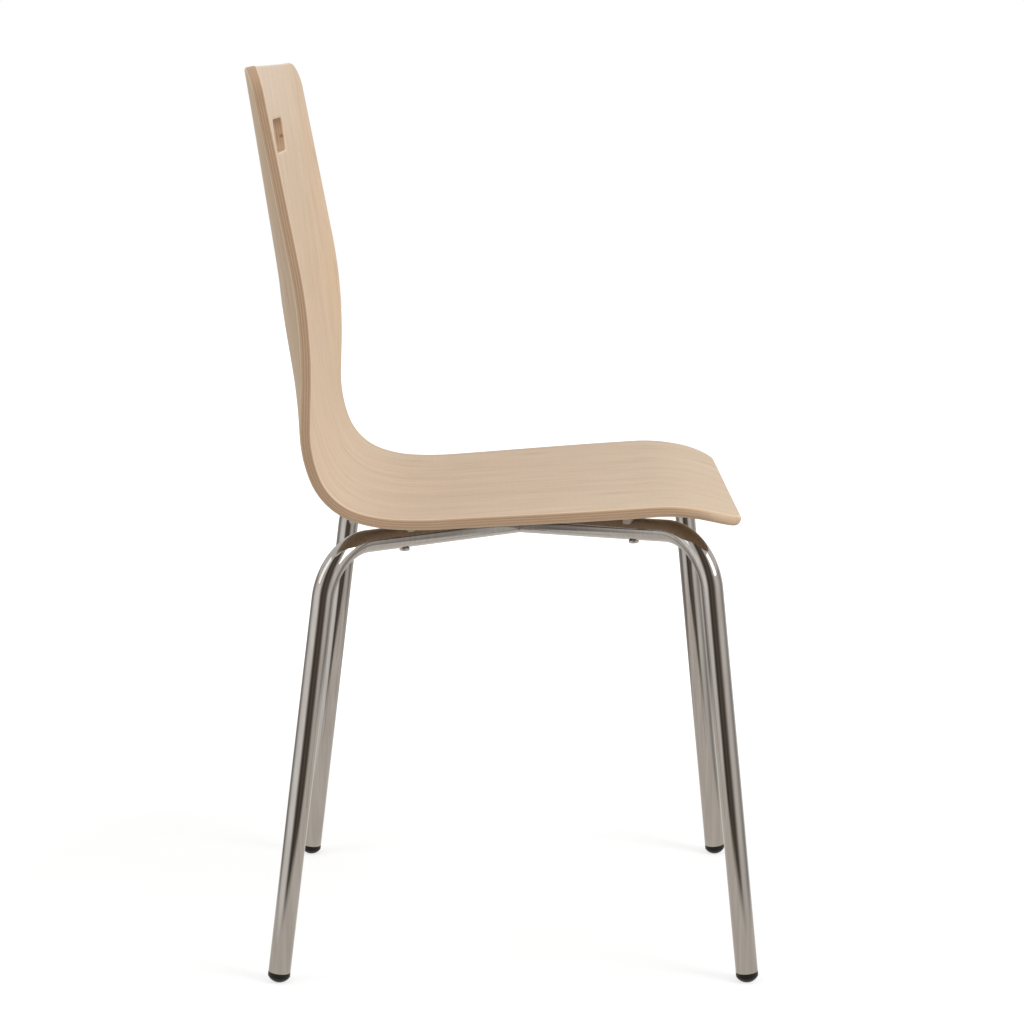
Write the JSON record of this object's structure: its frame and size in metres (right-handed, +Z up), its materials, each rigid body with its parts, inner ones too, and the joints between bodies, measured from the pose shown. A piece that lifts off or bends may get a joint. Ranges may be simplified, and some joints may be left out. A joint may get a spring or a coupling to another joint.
{
  "type": "side chair",
  "caption": "Stacking side chair: one-piece bent plywood seat and back with a hand slot, on splayed round chromed tube legs that meet in an X under the seat.",
  "frame": {"origin": "on the floor, below the middle of the chair's overall width and depth", "axes": "+Z up, the chair faces -Y, +X is the sitter's left"},
  "size_m": [0.414, 0.454, 0.8115],
  "materials": {
    "veneer_ply": "pale beech veneer, satin lacquer, plies seen on the edge",
    "chromed_tube": "polished chrome plate",
    "black_nylon": "moulded, satin black",
    "pale_nylon": "moulded, natural nylon",
    "plated_screw": "dark zinc plate",
    "insert_brass": "plain machined"
  },
  "bodies": {
    "root": {"seat_shell": "veneer_ply", "leg_tube_front_left": "chromed_tube", "leg_tube_front_right": "chromed_tube", "leg_tube_rear_left": "chromed_tube", "leg_tube_rear_right": "chromed_tube", "foot_glide_front_left": "black_nylon", "foot_glide_front_right": "black_nylon", "foot_glide_rear_left": "black_nylon", "foot_glide_rear_right": "black_nylon", "saddle_spacer_front_left": "pale_nylon", "saddle_spacer_front_right": "pale_nylon", "saddle_spacer_rear_left": "pale_nylon", "saddle_spacer_rear_right": "pale_nylon", "seat_screws": "plated_screw", "threaded_inserts": "insert_brass"}
  },
  "joints": []
}
